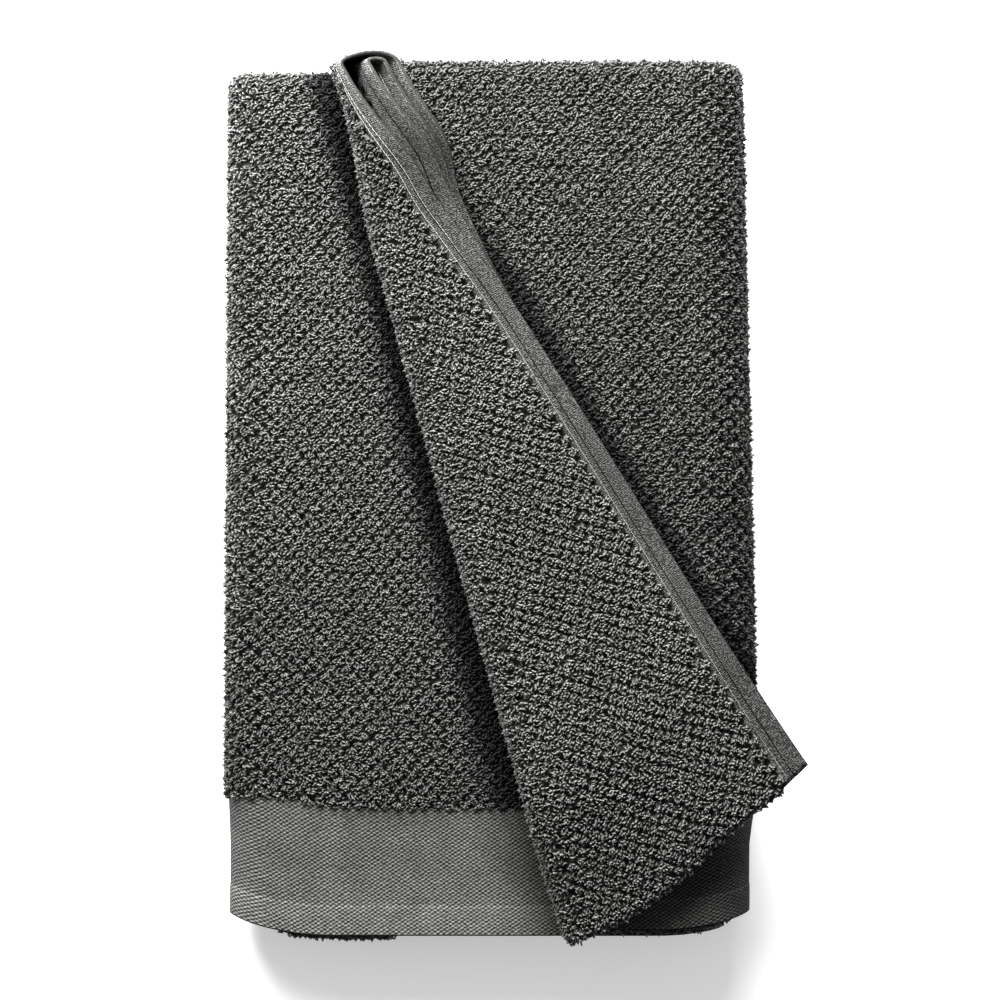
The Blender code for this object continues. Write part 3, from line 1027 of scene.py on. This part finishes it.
def pile(name, u, v, finish):
    """The loops of one region, tuft by tuft: the middle ones stand highest.

    Height, turn and tone each vary from tuft to tuft and again from loop to loop.
    """
    wall = name in WALLS
    spot = np.array(LOOP_SPOTS[:WALL_SPOTS] if wall else LOOP_SPOTS)
    loose = LOOSE_ON_WALLS if wall else LOOSE_ON_TOP
    tufts, loops = (len(u), 1), (len(u), len(spot))
    size = rng.uniform(0.85, 1.15, tufts)
    du = (spot[:, 0] + rng.normal(0, loose, loops)) * size * TUFT_ACROSS
    dv = (spot[:, 1] + rng.normal(0, loose, loops)) * size * TUFT_DOWN
    near = 1 - np.clip(np.hypot(du / TUFT_ACROSS, dv / TUFT_DOWN) / TUFT_REACH, 0, 1)
    height = (LOOP_LOW + LOOP_MORE * near) * rng.uniform(0.8, 1.2, tufts)
    height = height * rng.uniform(0.85, 1.15, loops)
    turn = math.radians(GRAIN.get(name, WALL_GRAIN))
    turn = turn + rng.normal(0, 0.5, tufts) + rng.normal(0, 0.7, loops)
    tone = rng.uniform(0.3, 0.7, tufts) + rng.uniform(-0.15, 0.15, loops)
    # painted shade: darker towards the stack's lower end, and more on the right panel
    if name.startswith(("left_", "right_")):
        tone = tone - PAINTED_SHADE_DOWN * ramp(crosswise(v)[0], *PAINTED_SHADE_SPAN)[:, None]
    if name.startswith("right_"):
        tone = tone - PAINTED_SHADE_RIGHT
    # crushed loops stand lower, and get painted shade
    crush_and_painted_light = np.maximum(crush_and_painted_light_at(u, v), 0)[:, None]
    height = height * (1 - CRUSHED_LOWER * crush_and_painted_light)
    tone = tone - CRUSHED_PAINTED_SHADE * crush_and_painted_light
    u, v = (u[:, None] + du).ravel(), (v[:, None] + dv).ravel()
    count = len(u)
    centre, normal, across, down = face_at(u, v)
    span = rng.uniform(*LOOP_SPAN, count)
    lean, curl = rng.normal(0, 0.45, count), rng.normal(0, 0.2, count)
    paths = arches(centre, normal, across, down, span, height.ravel(), turn.ravel(), lean, curl,
                   LOOP_RINGS)
    radius = YARN * rng.uniform(0.85, 1.15, count)
    mesh = yarn_mesh(f"{name}_pile", paths, normal[:, None], tone.ravel(), radius)
    print(name, count, "loops,", len(mesh.polygons), "faces")
    return piece(mesh.name, mesh, finish)


# %% [markdown]
# ## The yarn's finish
# A loop's crown catches the light and its feet sit in the shade of its neighbours. The renderer
# works out that shade, and the colour also rises from foot to crown, a painted shade at the feet.
# Each loop gets its own tone too, because dye takes a little differently on each.

# %% Yarn finish
# Painted shade: the tone rises from the loop's feet to its crown.
CROWN_PAINTED_SHADE = (1.1, 0.55)  # times the crown to the power 1.3, plus
OWN_TONE = (0.8, 0.6)
DARKEST = 0.16


def yarn_finish():
    """The dye times a painted shade that rises from foot to crown, times the loop's own tone."""
    made, tree, shader = material("charcoal looped cotton")
    looks = add(tree, "ShaderNodeAttribute", attribute_name="yarn").outputs["Vector"]
    look = add(tree, "ShaderNodeSeparateXYZ", {0: looks}).outputs
    dye = add(tree, "ShaderNodeGroup", {"Unevenness": 0.25}, node_tree=DYED).outputs[0]
    rise = line(tree, maths(tree, "POWER", look[0], 1.3), *CROWN_PAINTED_SHADE)
    own = maths(tree, "MAXIMUM", line(tree, look[1], *OWN_TONE), DARKEST)
    tone = maths(tree, "MULTIPLY", rise, own)
    tree.links.new(shaded(tree, dye, tone), shader.inputs["Base Color"])
    set_inputs(shader, {"Roughness": 0.9, "Specular IOR Level": 0.15, "Sheen Weight": 0.1})
    return made


LOOPED_COTTON = yarn_finish()

# %% Make the pile
# The crush measure, stored on the ground cloth, paints its shade beside the roll and under the flap's
# hem, and a highlight on the fan's hems.
crush_and_painted_light_grid = crush_and_painted_light_at(*grid()).ravel().astype(np.float32)
CLOTH.data.attributes.new("crush_and_painted_light", "FLOAT", "POINT").data.foreach_set("value", crush_and_painted_light_grid)

PILE = []
tuft_u, tuft_v = pebble_rows()
where = region(tuft_u, tuft_v)
for name in (*GRAIN, *WALLS):
    shown = where == name
    PILE.append(pile(name, tuft_u[shown], tuft_v[shown], LOOPED_COTTON))

# %% [markdown]
# ## The hems' thread
# Each hem is held by a line of lockstitch: short stitches that dive into the cloth at both ends.
# The side hems have a second line a little further in, where the turned edge ends. A drawn line
# would stay flat and unlit, so each stitch is a small arch of thread, made like the loops.

# %% Stitches
STITCH = 2.6 * MM
STITCH_SPAN = 1.3 * STITCH
STITCH_RINGS = 4
SECOND_LINE = 3.8 * MM
THREAD = 0.2 * MM
FAN_SEAM_FOOT = 85 * MM
FAN_SEAM_PROUD = 1.5 * FAN_SEAM_FOOT
SUNK = 0.22 * MM
PROUD = 0.6 * MM


def thread_finish():
    """Plain thread, lighter than the cloth: a painted highlight for the smooth thread on top."""
    made, _, shader = material("charcoal sewing thread")
    set_inputs(shader, {"Base Color": (0.42, 0.42, 0.41, 1), "Roughness": 0.7,
                        "Specular IOR Level": 0.3})
    return made


def stitches(u, v, side, turn, rise):
    """Paths and normals of the stitches centred on these points. rise is how high they stand."""
    centre, normal, across, down = face_at(u, v, side)
    count = len(u)
    turn = turn + rng.normal(0, 0.03, count)
    straight = np.zeros(count)
    paths = arches(centre, normal, across, down, np.full(count, STITCH_SPAN), rise, turn,
                   straight, straight, STITCH_RINGS)
    return paths, normal


def seams():
    """The lines of stitches along the hems, as one piece.

    On the flap they stand prouder towards the fan, and in the fan two of the inner plies show theirs.
    """
    lines = []
    plies = (  # where the ply starts, which face shows, from which height up
        (OUTER_TURN_END, 1, BOTTOM_Y),
        (0, -1, FAN_SEAM_FOOT),
        (CROSS_LENGTH - RUN, 1, FAN_SEAM_FOOT),
    )
    for start, side, foot in plies:
        path = start + np.arange(STITCH / 2, RUN, STITCH)
        v = path * FLAT_LENGTH / CROSS_LENGTH
        y, _ = crosswise(v)
        v, y = v[y > foot], y[y > foot]
        rise = SUNK + (PROUD - SUNK) * ramp(y, FAN_SEAM_FOOT, FAN_SEAM_PROUD)
        for inset in (SIDE_HEM, SIDE_HEM + SECOND_LINE):
            u = np.full(v.shape, FLAT_WIDTH - inset)
            lines.append(stitches(u, v, side, math.pi / 2, rise))
    u = np.arange(STITCH, FLAT_WIDTH, STITCH)
    lines.append(stitches(u, np.full(u.shape, END_HEM), 1, 0, np.full(u.shape, SUNK)))
    paths, normal = (np.concatenate(part) for part in zip(*lines))
    count = len(paths)
    tone, radius = np.full(count, 0.5), np.full(count, THREAD)
    mesh = yarn_mesh("hem_thread", paths, normal[:, None], tone, radius)
    print("hem thread", count, "stitches")
    return piece("hem_thread", mesh, thread_finish())


PILE.append(seams())

# %% [markdown]
# ## Floor and light
# The sheet lies on a plain white table. One large soft lamp stands low beyond its folded end, a
# little to the left, and rakes the pile so that each loop has a light and a dark side. The lamp is
# big, so shadows have no hard edge, and an even white studio fills them. The view's high contrast
# keeps the table near white and the gaps between the loops near black.

# %% Floor and light
TABLE_HALF = 3.0
TABLE_SHADE = (0.01, 0.895)  # times the noise, plus
TABLE_GLOW = 0.25
LAMP_AT = (-0.25, 1.12, 0.64)
LAMP_SIZE = (1.3, 0.9)
LAMP_POWER = 78
STUDIO_LIGHT = 0.28


def floor():
    """A square with its middle at the origin, of one almost even white."""
    half = TABLE_HALF
    points = np.array([(-half, -half, 0), (half, -half, 0), (half, half, 0), (-half, half, 0)])
    made, tree, shader = material("white table")
    shade = add(tree, "ShaderNodeTexNoise", {"Scale": 3.0}).outputs[0]
    shade = grey(tree, line(tree, shade, *TABLE_SHADE))
    tree.links.new(shade, shader.inputs["Base Color"])
    set_inputs(shader, {"Roughness": 0.6, "Emission Color": (1, 1, 1, 1),
                        "Emission Strength": TABLE_GLOW})
    return piece("table", mesh_of("table", points, np.arange(4), np.array([0])), made)


TABLE = floor()

lamp = bpy.data.lights.new("soft lamp", "AREA")
lamp.shape = "RECTANGLE"
lamp.size, lamp.size_y = LAMP_SIZE
lamp.energy = LAMP_POWER
lamp_object = bpy.data.objects.new("soft lamp", lamp)
lamp_object.location = LAMP_AT
lamp_object.rotation_euler = Vector(LAMP_AT).to_track_quat("Z", "Y").to_euler()
bpy.context.scene.collection.objects.link(lamp_object)

world = bpy.data.worlds.new("studio")
bpy.context.scene.world = world
world.use_nodes = True
set_inputs(world.node_tree.nodes["Background"], {"Color": (1, 1, 1, 1), "Strength": STUDIO_LIGHT})
bpy.context.scene.view_settings.view_transform = "Standard"
bpy.context.scene.view_settings.look = "High Contrast"

# %% [markdown]
# ## Hand over
# Every piece rides on the part's one body. The cloth stands for the plain solid, and the pile and
# the thread are pieces on it.

# %% Ride and replace
for made in (CLOTH, *PILE):
    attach(made, "root")
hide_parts("bath_sheet")
